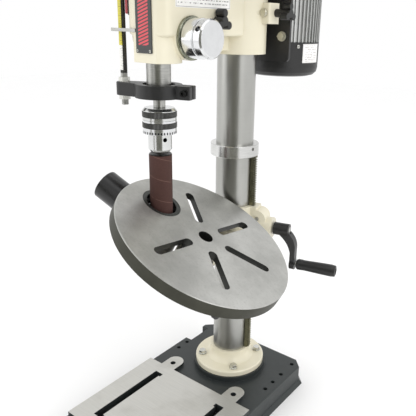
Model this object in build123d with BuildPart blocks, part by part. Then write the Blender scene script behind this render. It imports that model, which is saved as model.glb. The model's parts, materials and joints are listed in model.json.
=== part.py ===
"""Bench drill press with a sanding drum: every loose piece is its own solid.

Millimetres. The origin is on the floor under the column axis, +Z up, -Y towards the
operator and +X to the operator's right.
"""

from math import cos, pi, radians, sin

from build123d import *
import os

os.makedirs("parts", exist_ok=True)

# ---- driving dimensions -------------------------------------------------------------
THROAT = 204.8  # column axis to spindle axis, half of the 13 1/4 in swing plus the column
COLUMN_R = 36.5
COLUMN_TOP = 820
FIT = 0.05  # radial clearance of a running fit
GAP = 0.3  # clearance between bodies that pass each other

BASE_WIDTH, BASE_BACK, BASE_FRONT, BASE_TOP = 274, 96, -378, 45
BASE_WALL, BASE_RIB, BASE_SKIN = 10, 8, 12
BASE_SLOT_X, BASE_SLOT_HALF = 84.7, 8
PAD_TOP, PAD_BACK, PAD_FRONT, PAD_HALF = 52.7, -113, -333, 135.7
EAR_X, EAR_R = 83.5, 18
BENCH_HOLE_R, BENCH_HOLE_Y = 5.8, (-96, -350)
BOSS_TOP = 56  # raised round seat of the column flange
FLANGE_R, FLANGE_TOP, FLANGE_BOLT = 75, 94, 43

RACK_PITCH = 1.5 * pi
RACK_OUT, RACK_WIDTH, RACK_DEPTH = 46.7, 12.3, 3.4
RING_LOW, RING_TOP, RING_R = 524.5, 547.6, 47.3

SWING = 14.58  # degrees: the table bracket is swung about the column
TILT = 28.02  # degrees: the table is tilted to the operator's right
TILT_Z, TILT_RISE = 364.8, 74.65  # tilt axis height, and table top above it
TABLE_R, TABLE_PLATE, TABLE_RIM, TABLE_SLOT = 158, 12, 22.9, 16
CRANK_Z, CRANK_THROW = 382, 69
GEAR_Z, GEAR_TAN, GEAR_TEETH = 401, 57.2, 16

NOSE_BOTTOM, NOSE_R, NOSE_FLAT = 706.7, 37, 28.2
HEAD_TOP, HEAD_HALF, COLLAR_R = 850, 42, 53
FEED_Y, FEED_Z, PINION_R, PINION_TEETH = -176, 744, 10.5, 14
QUILL_R, QUILL_LOW, QUILL_TOP = 19.4, 651.5, 812
SPINDLE_R = 9.65
ROD_X, ROD_Y, ROD_R = -60.1, -222.5, 5.5
CHUCK_R, CHUCK_TOP, CHUCK_NOSE = 27.5, 637, 564.6
DRUM_R, DRUM_TOP, DRUM_LOW = 19.05, 560, 447

BAR_X, BAR_Z, BAR_R = 57.8, 786, 7
MOTOR_Y, MOTOR_R, MOTOR_LOW = 156.2, 75, 668.4
IDLER_Y = -40
PULLEY_LOW, STEP, GROOVE = 869.5, 13, 7.5
SPINDLE_STEPS = (34, 45, 56, 67)
IDLER_STEPS = (67, 56, 45, 34)
MOTOR_STEPS = (34, 45, 56, 67)
GUARD_R, GUARD_RIM, GUARD_TOP = 88, 872, 965
HINGE_X, HINGE_Z = -93, 872.2

# ---- frames --------------------------------------------------------------------------
TAN = Vector(cos(radians(SWING)), sin(radians(SWING)), 0)
RAD = Vector(sin(radians(SWING)), -cos(radians(SWING)), 0)
UP = Vector(0, 0, 1)
TABLE_NORMAL = TAN * sin(radians(TILT)) + UP * cos(radians(TILT))
TABLE_SIDE = TAN * cos(radians(TILT)) - UP * sin(radians(TILT))

COLUMN = Plane.XY
SPINDLE = Plane((0, -THROAT, 0))
BRACKET = Plane((0, 0, 0), x_dir=TAN)  # x to the crank, -y to the table
CRANK = Plane((0, 0, CRANK_Z), x_dir=-RAD, z_dir=TAN)
TILT_AXIS = Plane((0, 0, TILT_Z), x_dir=TAN, z_dir=RAD)
TABLE_CENTRE = RAD * THROAT + UP * TILT_Z + TABLE_NORMAL * TILT_RISE
TABLE = Plane(TABLE_CENTRE, x_dir=TABLE_SIDE, z_dir=TABLE_NORMAL)
FEED = Plane((0, FEED_Y, FEED_Z), x_dir=(0, 1, 0), z_dir=(1, 0, 0))
MOTOR = Plane((0, MOTOR_Y, 0))
IDLER = Plane((0, IDLER_Y, 0))
LEFT_BAR = Plane((-BAR_X, 0, BAR_Z), x_dir=(1, 0, 0), z_dir=(0, 1, 0))
RIGHT_BAR = Plane((BAR_X, 0, BAR_Z), x_dir=(1, 0, 0), z_dir=(0, 1, 0))

INSERT_X, INSERT_Y = -95.5, 4  # sanding hole in the table's frame
CHAMBER_X, CHAMBER_R = -84, 44
PORT_START = TABLE.from_local_coords((-140, 20, -51))
PORT_TURN = radians(3)
PORT_AXIS = TABLE_SIDE * -cos(PORT_TURN) - RAD * sin(PORT_TURN)
PORT = Plane(PORT_START, x_dir=TABLE_NORMAL, z_dir=PORT_AXIS)


# ---- shared shapes -------------------------------------------------------------------
def at(frame, x=0, y=0, z=0):
    """The frame moved by an offset in its own axes."""
    origin = frame.from_local_coords((x, y, z))
    return Plane(origin, x_dir=frame.x_dir, z_dir=frame.z_dir)


def disc(frame, radius, low, high, mode=Mode.ADD):
    """A cylinder along the frame's z axis."""
    with BuildSketch(at(frame, z=low)) as section:
        Circle(radius)
    extrude(section.sketch, amount=high - low, mode=mode)


def ring(frame, outer, inner, low, high):
    """A tube along the frame's z axis."""
    with BuildSketch(at(frame, z=low)) as section:
        Circle(outer)
        Circle(inner, mode=Mode.SUBTRACT)
    extrude(section.sketch, amount=high - low)


def block(frame, x, y, z, mode=Mode.ADD, corner=0):
    """A box between pairs of limits in the frame's axes."""
    with BuildSketch(at(frame, (x[0] + x[1]) / 2, (y[0] + y[1]) / 2, z[0])) as section:
        if corner:
            RectangleRounded(x[1] - x[0], y[1] - y[0], corner)
        else:
            Rectangle(x[1] - x[0], y[1] - y[0])
    extrude(section.sketch, amount=z[1] - z[0], mode=mode)


def turned(frame, outline, mode=Mode.ADD):
    """A solid of revolution about the frame's z axis, from (radius, height) points."""
    side = Plane(frame.origin, x_dir=frame.x_dir, z_dir=-frame.y_dir)
    with BuildSketch(side) as section:
        with BuildLine():
            Polyline(*outline, close=True)
        make_face()
    revolve(section.sketch, Axis(frame.origin, frame.z_dir), mode=mode)


def hexagon(frame, across, low, high):
    """A hexagonal prism along the frame's z axis, across its flats."""
    with BuildSketch(at(frame, z=low)) as section:
        RegularPolygon(across / 2, 6, major_radius=False)
    extrude(section.sketch, amount=high - low)


def slot(frame, length, width, low, high, mode=Mode.SUBTRACT):
    """A round-ended slot along the frame's x axis."""
    with BuildSketch(at(frame, z=low)) as section:
        SlotOverall(length, width)
    extrude(section.sketch, amount=high - low, mode=mode)


def wing(frame, reach, thickness, low, lobes=3):
    """A lobed hand knob about the frame's z axis."""
    with BuildSketch(at(frame, z=low)) as section:
        Circle(reach * 0.42)
        with PolarLocations(reach * 0.66, lobes, start_angle=90):
            Circle(reach * 0.34)
    extrude(section.sketch, amount=thickness)


def gear(frame, pitch_radius, teeth, low, high):
    """A spur gear with slim straight-flanked teeth, one of them along -x."""
    root, tip = pitch_radius - 1.9, pitch_radius + 1.0
    disc(frame, root, low, high)
    with BuildSketch(at(frame, z=low)) as section:
        with PolarLocations(0, teeth, start_angle=180):
            with BuildLine():
                Polyline((root - 1, -1.5), (tip, -0.55), (tip, 0.55), (root - 1, 1.5), close=True)
            make_face()
    extrude(section.sketch, amount=high - low)


def rack_teeth(frame, centre, count, half_width):
    """Trapezoid grooves across the +x face of a rack, in the frame's x-z plane."""
    side = Plane(at(frame, y=-half_width).origin, x_dir=frame.x_dir, z_dir=-frame.y_dir)
    with BuildSketch(side) as grooves:
        with Locations(*[(0, centre + RACK_PITCH * n) for n in count]):
            Polygon((-RACK_DEPTH, -0.9), (1, -2.1), (1, 2.1), (-RACK_DEPTH, 0.9), align=None)
    extrude(grooves.sketch, amount=-2 * half_width, mode=Mode.SUBTRACT)


def pulley(frame, steps, bore):
    """A stepped V-belt pulley."""
    outline = [(bore, PULLEY_LOW)]
    for index, radius in enumerate(steps):
        middle = PULLEY_LOW + STEP * (index + 0.5)
        outline += [(radius, middle - STEP / 2), (radius, middle - 5.4), (radius - GROOVE, middle - 3.3)]
        outline += [(radius - GROOVE, middle + 3.3), (radius, middle + 5.4), (radius, middle + STEP / 2)]
    outline.append((bore, PULLEY_LOW + STEP * len(steps)))
    turned(frame, outline)


def belt(back, back_radius, front, front_radius, step):
    """A V-belt round two pulleys in one belt plane."""
    middle = PULLEY_LOW + STEP * (step + 0.5)
    for inner, outer, half in ((6.6, 0.4, 3.1), (3.0, 0.4, 4.2)):
        with BuildSketch(Plane.XY.offset(middle - half)) as loop:
            with BuildSketch(mode=Mode.PRIVATE) as outside:
                with Locations((0, back)):
                    Circle(back_radius - outer)
                with Locations((0, front)):
                    Circle(front_radius - outer)
                make_hull()
            with BuildSketch(mode=Mode.PRIVATE) as inside:
                with Locations((0, back)):
                    Circle(back_radius - inner)
                with Locations((0, front)):
                    Circle(front_radius - inner)
                make_hull()
            add(outside.sketch)
            add(inside.sketch, mode=Mode.SUBTRACT)
        extrude(loop.sketch, amount=2 * half)


def guard_outline(radius, low, high, mode=Mode.ADD):
    """The rounded outline shared by the belt guard's pan and lid."""
    with BuildSketch(Plane.XY.offset(low)) as outline:
        with Locations((0, -THROAT), (0, MOTOR_Y)):
            Circle(radius)
        make_hull()
    extrude(outline.sketch, amount=high - low, mode=mode)


def save(piece, name):
    piece.part.label = name
    export_step(piece.part, f"parts/{name}.step")


# ---- base and column -----------------------------------------------------------------
base_middle = (BASE_BACK + BASE_FRONT) / 2
base_length = BASE_BACK - BASE_FRONT
cell_x = (BASE_WIDTH - 2 * BASE_WALL - 2 * BASE_RIB) / 3
cell_y = (base_length - 2 * BASE_WALL - 4 * BASE_RIB) / 5

with BuildPart() as base_casting:
    with BuildSketch():
        with Locations((0, base_middle)):
            Rectangle(BASE_WIDTH, base_length)
        chamfer(vertices(), 18)
    extrude(amount=BASE_TOP)
    fillet(faces().sort_by(Axis.Z)[-1].edges(), 3)
    with BuildSketch():
        with Locations((0, base_middle)):
            Rectangle(BASE_WIDTH + 14, base_length + 14)
        chamfer(vertices(), 20)
    extrude(amount=9, taper=35)
    with BuildSketch(Plane.XY.offset(BASE_TOP - 1)):
        with Locations((0, (PAD_BACK + PAD_FRONT) / 2)):
            Rectangle(2 * PAD_HALF, PAD_BACK - PAD_FRONT)
        with Locations((-EAR_X, base_middle - 82), (EAR_X, base_middle - 82)):
            SlotOverall(305, 2 * EAR_R, rotation=90)
    extrude(amount=PAD_TOP - BASE_TOP + 1)
    disc(COLUMN, 79, BASE_TOP - 1, BOSS_TOP)
    with BuildSketch():
        with Locations((0, base_middle)):
            with GridLocations(cell_x + BASE_RIB, cell_y + BASE_RIB, 3, 5):
                Rectangle(cell_x, cell_y)
    extrude(amount=BASE_TOP - BASE_SKIN, mode=Mode.SUBTRACT)
    disc(COLUMN, 30, 0, BASE_TOP)
    block(COLUMN, (-136, -109), (-4, 77), (0, BASE_TOP - 4))
    for side in (-1, 1):
        for hole_y in BENCH_HOLE_Y:
            disc(at(COLUMN, side * EAR_X, hole_y), 13, 0, BASE_TOP)
            disc(at(COLUMN, side * EAR_X, hole_y), BENCH_HOLE_R, -1, 60, Mode.SUBTRACT)
        slot_x = (side * BASE_SLOT_X - BASE_SLOT_HALF, side * BASE_SLOT_X + BASE_SLOT_HALF)
        block(COLUMN, slot_x, (-306, -139), (-1, 60), Mode.SUBTRACT)
        notch_x = (side * (BASE_SLOT_X - 4) - BASE_SLOT_HALF, side * (BASE_SLOT_X - 4) + BASE_SLOT_HALF)
        for end_y in (-306, -148):
            block(COLUMN, notch_x, (end_y, end_y + 9), (-1, 60), Mode.SUBTRACT)
    block(COLUMN, (-150, -119), (5, 68), (-1, 60), Mode.SUBTRACT)
    for hole_y in (73.8, 28.4, -4.5, -33.1):
        disc(at(COLUMN, 120, hole_y), 4.5, 20, 60, Mode.SUBTRACT)
    for hole_y in (-8, -36.5):
        disc(at(COLUMN, -121, hole_y), 4.5, 20, 60, Mode.SUBTRACT)
    with Locations((0, 0, BOSS_TOP)):
        with GridLocations(2 * FLANGE_BOLT, 2 * FLANGE_BOLT, 2, 2):
            Hole(4, 24)
save(base_casting, "base_casting")

with BuildPart() as column_flange:
    with BuildSketch(Plane.XZ):
        with BuildLine():
            Polyline((COLUMN_R + FIT, FLANGE_TOP), (COLUMN_R + FIT, BOSS_TOP), (FLANGE_R, BOSS_TOP))
            Line((FLANGE_R, BOSS_TOP), (FLANGE_R, 65))
            Polyline((FLANGE_R, 65), (FLANGE_R - 2, 67.5), (52, 69))
            ThreePointArc((52, 69), (45, 75), (42, 88))
            Polyline((42, 88), (42, FLANGE_TOP), (COLUMN_R + FIT, FLANGE_TOP))
        make_face()
    revolve(axis=Axis.Z)
    with Locations((0, 0, 68)):
        with GridLocations(2 * FLANGE_BOLT, 2 * FLANGE_BOLT, 2, 2):
            Hole(4.2, 20)
            Cylinder(9.5, 12, align=(Align.CENTER, Align.CENTER, Align.MIN), mode=Mode.SUBTRACT)
save(column_flange, "column_flange")

with BuildPart() as flange_bolts:
    for bolt_x in (-FLANGE_BOLT, FLANGE_BOLT):
        for bolt_y in (-FLANGE_BOLT, FLANGE_BOLT):
            bolt = at(COLUMN, bolt_x, bolt_y)
            disc(bolt, 3.9, 36, 69)
            disc(bolt, 8.5, 68, 70)
            hexagon(bolt, 13, 70, 76)
save(flange_bolts, "flange_bolts")

with BuildPart() as column_tube:
    ring(COLUMN, COLUMN_R, COLUMN_R - 4, BOSS_TOP, COLUMN_TOP)
save(column_tube, "column_tube")

with BuildPart() as column_rack:
    rack_span = (FLANGE_TOP + GAP, RING_LOW - GAP)
    block(BRACKET, (COLUMN_R + FIT, RACK_OUT), (-RACK_WIDTH / 2, RACK_WIDTH / 2), rack_span)
    rack_teeth(at(BRACKET, x=RACK_OUT, z=GEAR_Z), 0, range(-65, 26), RACK_WIDTH / 2 + 1)
save(column_rack, "column_rack")

ring_screw_out = Vector(cos(radians(-5.7)), sin(radians(-5.7)), 0)
RING_SCREW = Plane((0, 0, 540.6), x_dir=(0, 1, 0), z_dir=ring_screw_out)
HEAD_SCREWS = [Plane((0, 0, height), x_dir=(0, 1, 0), z_dir=(-1, 0, 0)) for height in (728, 752)]
with BuildPart() as rack_ring:
    ring(COLUMN, RING_R, COLUMN_R + FIT, RING_LOW, RING_TOP)
    chamfer(edges().filter_by(GeomType.CIRCLE).sort_by(SortBy.RADIUS)[-2:], 1)
    disc(RING_SCREW, 3.2, 30, 60, Mode.SUBTRACT)
save(rack_ring, "rack_ring")

with BuildPart() as set_screws:
    screw_sizes = ((RING_SCREW, 3.1, 8), (HEAD_SCREWS[0], 4.1, 14.5), (HEAD_SCREWS[1], 4.1, 14.5))
    for screw, radius, length in screw_sizes:
        disc(screw, radius, COLUMN_R + 0.1, COLUMN_R + length)
        with BuildSketch(at(screw, z=COLUMN_R + length - 3)) as socket:
            RegularPolygon(radius / 2, 6, major_radius=False)
        extrude(socket.sketch, amount=4, mode=Mode.SUBTRACT)
save(set_screws, "set_screws")

# ---- table bracket and lift ----------------------------------------------------------
gear_axis = Plane(BRACKET.from_local_coords((GEAR_TAN, 0, GEAR_Z)), x_dir=TAN, z_dir=RAD)
clamp_axis = Plane(BRACKET.from_local_coords((0, 58, 377)), x_dir=UP, z_dir=-TAN)
tilt_face = 66

with BuildPart() as bracket_casting:
    disc(COLUMN, 45.5, 330, 424)
    block(BRACKET, (20, 56), (-15, 15), (330, 424), corner=3)
    disc(TILT_AXIS, 34, 30, tilt_face)
    disc(gear_axis, 17.5, -16, 16)
    block(BRACKET, (40, GEAR_TAN), (-16, 16), (GEAR_Z - 17, GEAR_Z + 17))
    disc(CRANK, 21, 45, 87)
    block(BRACKET, (-17, 17), (40, 68), (352, 402))
    disc(COLUMN, COLUMN_R + 2 * FIT, 300, 440, Mode.SUBTRACT)
    block(BRACKET, (30, RACK_OUT + 0.7), (-6.8, 6.8), (300, 440), Mode.SUBTRACT)
    disc(gear_axis, 14.8, -6.8, 6.8, Mode.SUBTRACT)
    disc(gear_axis, 4 + FIT, -30, 30, Mode.SUBTRACT)
    disc(CRANK, 9, 46, 69, Mode.SUBTRACT)
    disc(CRANK, 7 + FIT, 60, 90, Mode.SUBTRACT)
    disc(TILT_AXIS, 8 + FIT, 38, 70, Mode.SUBTRACT)
    block(BRACKET, (-2, 2), (34, 70), (300, 440), Mode.SUBTRACT)
    disc(clamp_axis, 5 + FIT, -30, 30, Mode.SUBTRACT)
save(bracket_casting, "bracket_casting")

with BuildPart() as lift_gear:
    gear(gear_axis, 1.5 * GEAR_TEETH / 2, GEAR_TEETH, -6, 6)
    disc(gear_axis, 4, -18, 18)
save(lift_gear, "lift_gear")

with BuildPart() as worm_shaft:
    disc(CRANK, 4.2, 48, 68)
    for thread in range(4):
        start = 49.5 + RACK_PITCH * thread
        turned(CRANK, [(3, start), (5.3, start + 1), (5.3, start + 2.2), (3, start + 3.2)])
    disc(CRANK, 7, 67.8, 122)
save(worm_shaft, "worm_shaft")

arm_foot = CRANK.from_local_coords((0, -CRANK_THROW, 0))
CRANK_END = Plane(arm_foot, x_dir=-RAD, z_dir=TAN)
with BuildPart() as crank_arm:
    ring(CRANK, 12.5, 7 + FIT, 90, 121)
    with BuildSketch(Plane(CRANK.origin, x_dir=TAN, z_dir=RAD)) as bend:
        with BuildLine():
            Polyline((116, 0), (104, 0), (104, -10))
            ThreePointArc((104, -10), (118, -24), (127, -44))
            Polyline((127, -44), (127, -CRANK_THROW), (137, -CRANK_THROW), (137, -40))
            ThreePointArc((137, -40), (131, -14), (116, 0))
        make_face()
    extrude(bend.sketch, amount=9, both=True)
    disc(CRANK_END, 12, 127, 137)
    disc(CRANK, 7 + FIT, 80, 130, Mode.SUBTRACT)
    disc(CRANK_END, 4 + FIT, 120, 145, Mode.SUBTRACT)
save(crank_arm, "crank_arm")

with BuildPart() as crank_pin:
    disc(CRANK_END, 4, 127.5, 215)
    disc(CRANK_END, 6, 214, 218)
save(crank_pin, "crank_pin")

with BuildPart() as crank_grip:
    turned(
        CRANK_END,
        [(4 + FIT, 141), (9, 141), (10.9, 144), (10.9, 150), (10.4, 156), (11.7, 195), (12, 211), (11, 219),
         (8, 220), (6.5 + FIT, 220), (6.5 + FIT, 213.7), (4 + FIT, 213.7)],
    )
save(crank_grip, "crank_grip")

with BuildPart() as bracket_clamp_lever:
    disc(clamp_axis, 5, -16, 20)
    turned(clamp_axis, [(0, 17.5), (9, 17.5), (11, 20), (11, 34), (8, 38), (0, 38)])
    lever = Plane(clamp_axis.from_local_coords((0, 0, 28)), x_dir=TAN, z_dir=-UP)
    disc(lever, 4.5, 0, 58)
    turned(lever, [(0, 54), (6.5, 54), (8.5, 64), (8, 78), (5, 83), (0, 83)])
save(bracket_clamp_lever, "bracket_clamp_lever")

# ---- table ---------------------------------------------------------------------------
TABLE_TILT = Plane(TABLE.from_local_coords((0, 0, -TILT_RISE)), x_dir=TABLE.x_dir, z_dir=TABLE.y_dir)
flange_near = THROAT - tilt_face - GAP
LOCK_TURN = radians(45)
lock_side = TABLE_SIDE * cos(LOCK_TURN) - RAD * sin(LOCK_TURN)
SOCKET = Plane(TABLE.origin, x_dir=lock_side, z_dir=TABLE_NORMAL)
lock_axis = Plane(SOCKET.from_local_coords((0, -45, -70)), x_dir=SOCKET.z_dir, z_dir=SOCKET.x_dir)

with BuildPart() as table_arm:
    disc(TABLE_TILT, 36, flange_near - 16, flange_near)
    block(TABLE, (-24, 24), (18, flange_near - 8), (-99, -52), corner=6)
    disc(TABLE, 34, -99, -42)
    block(SOCKET, (-13, 13), (-56, -20), (-86, -54), corner=5)
    disc(TABLE, 22 + FIT, -120, -20, Mode.SUBTRACT)
    block(SOCKET, (-1.5, 1.5), (-70, -10), (-120, -20), Mode.SUBTRACT)
    block(TABLE, (-16, 16), (flange_near - 34, flange_near - 15.7), (-120, -57), Mode.SUBTRACT)
    disc(TABLE_TILT, 8 + FIT, flange_near - 20, flange_near + 5, Mode.SUBTRACT)
    disc(lock_axis, 4 + FIT, -40, 40, Mode.SUBTRACT)
save(table_arm, "table_arm")

with BuildPart() as tilt_bolt:
    disc(TILT_AXIS, 8, 40, tilt_face + GAP + 16.2)
    hexagon(TILT_AXIS, 26, tilt_face + GAP + 16.2, tilt_face + GAP + 27)
save(tilt_bolt, "tilt_bolt")

with BuildPart() as table_lock:
    disc(lock_axis, 4, -14, 18)
    turned(lock_axis, [(0, 13.5), (8, 13.5), (9.5, 16), (9.5, 26), (7, 29), (0, 29)])
    handle = Plane(lock_axis.from_local_coords((0, 0, 21)), x_dir=SOCKET.x_dir, z_dir=-SOCKET.y_dir)
    disc(handle, 3.8, 0, 45)
    turned(handle, [(0, 42), (6, 42), (8, 52), (7.5, 62), (4.5, 67), (0, 67)])
save(table_lock, "table_lock")

slot_angles = (-135, 165, 105, 45, -15)
with BuildPart() as table_top:
    disc(TABLE, TABLE_R, -TABLE_RIM, 0)
    chamfer(edges().filter_by(GeomType.CIRCLE), 1)
    disc(TABLE, TABLE_R - 10, -TABLE_RIM - 1, -TABLE_PLATE, Mode.SUBTRACT)
    for rib in (135, 75, 15, -165):
        ray = TABLE_SIDE * sin(radians(rib)) + RAD * cos(radians(rib))
        spoke = Plane(TABLE.origin, x_dir=ray, z_dir=TABLE_NORMAL)
        block(spoke, (20, TABLE_R - 5), (-3, 3), (-TABLE_RIM + 1, -TABLE_PLATE + 1))
    disc(TABLE, 30, -30, -TABLE_PLATE + 1)
    disc(TABLE, 22, -101, -TABLE_PLATE + 1)
    disc(TABLE, 13, -120, 5, Mode.SUBTRACT)
    for angle in slot_angles:
        ray = TABLE_SIDE * sin(radians(angle)) + RAD * cos(radians(angle))
        slot(Plane(TABLE.origin + ray * 78.5, x_dir=ray, z_dir=TABLE_NORMAL), 84, TABLE_SLOT, -60, 5)
    disc(at(TABLE, INSERT_X, INSERT_Y), 34.6, -6, 5, Mode.SUBTRACT)
    disc(at(TABLE, INSERT_X, INSERT_Y), 30, -40, 5, Mode.SUBTRACT)
save(table_top, "table_top")

with BuildPart() as table_insert:
    ring(at(TABLE, INSERT_X, INSERT_Y), 34.5, 27, -6, -0.2)
    chamfer(edges().filter_by(GeomType.CIRCLE), 0.6)
save(table_insert, "table_insert")

CHAMBER = at(TABLE, CHAMBER_X, INSERT_Y)
with BuildPart() as dust_chamber:
    disc(CHAMBER, CHAMBER_R, -81, -TABLE_PLATE - 0.1)
    disc(CHAMBER, CHAMBER_R + 7, -18, -TABLE_PLATE - 0.1)
    disc(CHAMBER, CHAMBER_R - 3, -78, 0, Mode.SUBTRACT)
    disc(PORT, 27 + FIT, -60, 20, Mode.SUBTRACT)
    for turn in (60, 180, 300):
        screw_seat = at(CHAMBER, 47.5 * cos(radians(turn)), 47.5 * sin(radians(turn)))
        disc(screw_seat, 1.6, -30, 0, Mode.SUBTRACT)
save(dust_chamber, "dust_chamber")

with BuildPart() as dust_port:
    ring(PORT, 27, 24, -20, 73)
    ring(PORT, 29.5, 24, 20.5, 24.5)
save(dust_port, "dust_port")

# ---- head ----------------------------------------------------------------------------
lug_x = (BAR_X - 17.8, BAR_X + 10.7)
with BuildPart() as head_casting:
    block(SPINDLE, (-HEAD_HALF, HEAD_HALF), (-NOSE_FLAT, THROAT - 40), (746, HEAD_TOP))
    fillet(edges().filter_by(Axis.Z).group_by(Axis.Y)[0], 17)
    fillet(edges().filter_by(Axis.X).sort_by(Axis.Z)[:2], 5)
    disc(SPINDLE, NOSE_R, NOSE_BOTTOM, HEAD_TOP)
    disc(COLUMN, COLLAR_R, 715, HEAD_TOP)
    disc(FEED, 33.5, -HEAD_HALF, HEAD_HALF)
    block(COLUMN, (-18, 18), (-THROAT + 20, -40), (722, 750), corner=4)
    block(COLUMN, (-70, 70), (-THROAT - 60, -THROAT - NOSE_FLAT), (700, 860), Mode.SUBTRACT)
    for side in (-1, 1):
        lug_span = sorted((side * lug_x[0], side * lug_x[1]))
        block(COLUMN, lug_span, (0, 33), (BAR_Z - 18.5, BAR_Z + 16.5), corner=4)
    disc(SPINDLE, 28, 840, HEAD_TOP + 14)
    block(COLUMN, (-32, 32), (-148, -62), (756, HEAD_TOP + 1), Mode.SUBTRACT, corner=8)
    disc(COLUMN, COLUMN_R + FIT, 700, COLUMN_TOP + 2, Mode.SUBTRACT)
    disc(SPINDLE, QUILL_R + FIT, 700, 846, Mode.SUBTRACT)
    disc(SPINDLE, 12.4 + FIT, 840, 870, Mode.SUBTRACT)
    disc(FEED, 12.25, -9, 50, Mode.SUBTRACT)
    disc(FEED, 8.5 + FIT, -50, 0, Mode.SUBTRACT)
    disc(COLUMN, 9.05, COLUMN_TOP + 6, 860, Mode.SUBTRACT)
    disc(at(FEED, 61, 26), 5, 24, 50, Mode.SUBTRACT)
    for bar in (LEFT_BAR, RIGHT_BAR):
        disc(bar, BAR_R + FIT, -22, 40, Mode.SUBTRACT)
    disc(Plane((BAR_X, 21, BAR_Z), x_dir=(0, 1, 0), z_dir=(1, 0, 0)), 4 + FIT, 6, 20, Mode.SUBTRACT)
    for screw in HEAD_SCREWS:
        disc(screw, 4.2, 30, 60, Mode.SUBTRACT)
save(head_casting, "head_casting")

PANEL = Plane((0, -THROAT - NOSE_FLAT, 0), x_dir=(1, 0, 0), z_dir=(0, -1, 0))
with BuildPart() as front_panel:
    block(PANEL, (-16.5, 16.5), (721, 842), (0.05, 1.8), corner=1.5)
save(front_panel, "front_panel")

with BuildPart() as depth_pointer:
    block(PANEL, (-72, -18), (751, 756), (0.1, 2.1), corner=1)
save(depth_pointer, "depth_pointer")

SWITCH = Plane((-HEAD_HALF, -THROAT, 0), x_dir=(0, -1, 0), z_dir=(-1, 0, 0))
paddle_pin_z = 829
with BuildPart() as switch_box:
    block(SWITCH, (-42, 8), (775, 838), (0.1, 15), corner=3)
    block(SWITCH, (-37, 3), (779, 834), (2, 13), Mode.SUBTRACT)
    disc(at(SWITCH, -17, 806), 8.3, 10, 20, Mode.SUBTRACT)
    for ear_y in (-42, 4.5):
        block(SWITCH, (ear_y, ear_y + 3.5), (paddle_pin_z - 4, paddle_pin_z + 4), (14.5, 23))
save(switch_box, "switch_box")

paddle_axis = Plane((-HEAD_HALF - 18.5, -THROAT, paddle_pin_z), x_dir=(0, 0, 1), z_dir=(0, 1, 0))
with BuildPart() as stop_paddle:
    block(SWITCH, (-37, 3), (777, paddle_pin_z), (15.6, 21.4))
    disc(paddle_axis, 2.9, -3, 37)
    block(SWITCH, (-33, 2), (777, 800), (21, 27), corner=2.5)
    disc(at(SWITCH, -17, 806), 9.2, 10, 19, Mode.SUBTRACT)
    disc(paddle_axis, 1.55, -50, 60, Mode.SUBTRACT)
save(stop_paddle, "stop_paddle")

with BuildPart() as on_button:
    disc(at(SWITCH, -17, 806), 8, 9, 17.5)
    disc(at(SWITCH, -17, 806), 9.5, 9, 11.5)
save(on_button, "on_button")

with BuildPart() as side_lock_knob:
    knob_axis = at(FEED, 61, 26)
    disc(knob_axis, 4.9, 26, 48)
    disc(knob_axis, 7, HEAD_HALF + GAP, 46)
    wing(knob_axis, 19, 16, 46)
    fillet(edges().filter_by(GeomType.CIRCLE).group_by(Axis.X)[-1], 2)
save(side_lock_knob, "side_lock_knob")

# ---- feed ----------------------------------------------------------------------------
with BuildPart() as pinion_shaft:
    gear(FEED, PINION_R, PINION_TEETH, -8.5, 8.5)
    disc(FEED, 12.2, 14, HEAD_HALF)
    disc(FEED, 8.5, -56, 80)
save(pinion_shaft, "pinion_shaft")

with BuildPart() as hub_ring:
    ring(FEED, 33, 8.5 + FIT, HEAD_HALF + 0.4, 47.3)
    chamfer(edges().filter_by(GeomType.CIRCLE).group_by(Axis.X)[-1].sort_by(SortBy.RADIUS)[-1], 1)
save(hub_ring, "hub_ring")

with BuildPart() as feed_hub:
    turned(
        FEED,
        [(0, 80.2), (8.5 + FIT, 80.2), (8.5 + FIT, 47.4), (29, 47.4), (30, 48.4), (30, 68), (27.5, 69),
         (27.5, 71), (29.5, 72), (29.5, 83), (27, 85.6), (25, 86), (0, 86)],
    )
    for turn in (30, 150, 270):
        lever_ray = Vector(0, cos(radians(turn)), sin(radians(turn)))
        lever_hole = Plane((77.5, FEED_Y, FEED_Z), x_dir=(1, 0, 0), z_dir=lever_ray)
        disc(lever_hole, 4.5, 13, 40, Mode.SUBTRACT)
save(feed_hub, "feed_hub")

with BuildPart() as spring_cap:
    turned(
        FEED,
        [(9.5, -60), (26, -60), (28.5, -57), (28.5, -42.1), (25.5, -42.1), (25.5, -57.5), (9.5, -57.5)],
    )
save(spring_cap, "spring_cap")

with BuildPart() as return_spring:
    with BuildSketch(at(FEED, z=-56)) as coil:
        with BuildLine():
            for half_turn in range(8):
                radius = 12 + 1.5 * half_turn
                start = 0 if half_turn % 2 == 0 else 180
                CenterArc((-0.75 if half_turn % 2 else 0.75, 0), radius, start, 180)
        trace(line_width=0.8)
    extrude(coil.sketch, amount=12)
save(return_spring, "return_spring")

# ---- quill, chuck and drum -----------------------------------------------------------
with BuildPart() as quill:
    turned(
        SPINDLE,
        [(11, QUILL_LOW + 17.5), (16, QUILL_LOW + 17.5), (16, QUILL_LOW), (QUILL_R, QUILL_LOW),
         (QUILL_R, QUILL_TOP), (16, QUILL_TOP), (16, QUILL_TOP - 12), (11, QUILL_TOP - 12)],
    )
    rack_face = Plane((0, FEED_Y - PINION_R + 1.1, FEED_Z), x_dir=(0, 1, 0))
    rack_teeth(rack_face, 0, range(-9, 14), 12)
save(quill, "quill")

with BuildPart() as quill_bearings:
    ring(SPINDLE, 15.9, SPINDLE_R + FIT, QUILL_LOW + 3, QUILL_LOW + 17)
    ring(SPINDLE, 15.9, SPINDLE_R + FIT, QUILL_TOP - 11.5, QUILL_TOP - 0.5)
save(quill_bearings, "quill_bearings")

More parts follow.
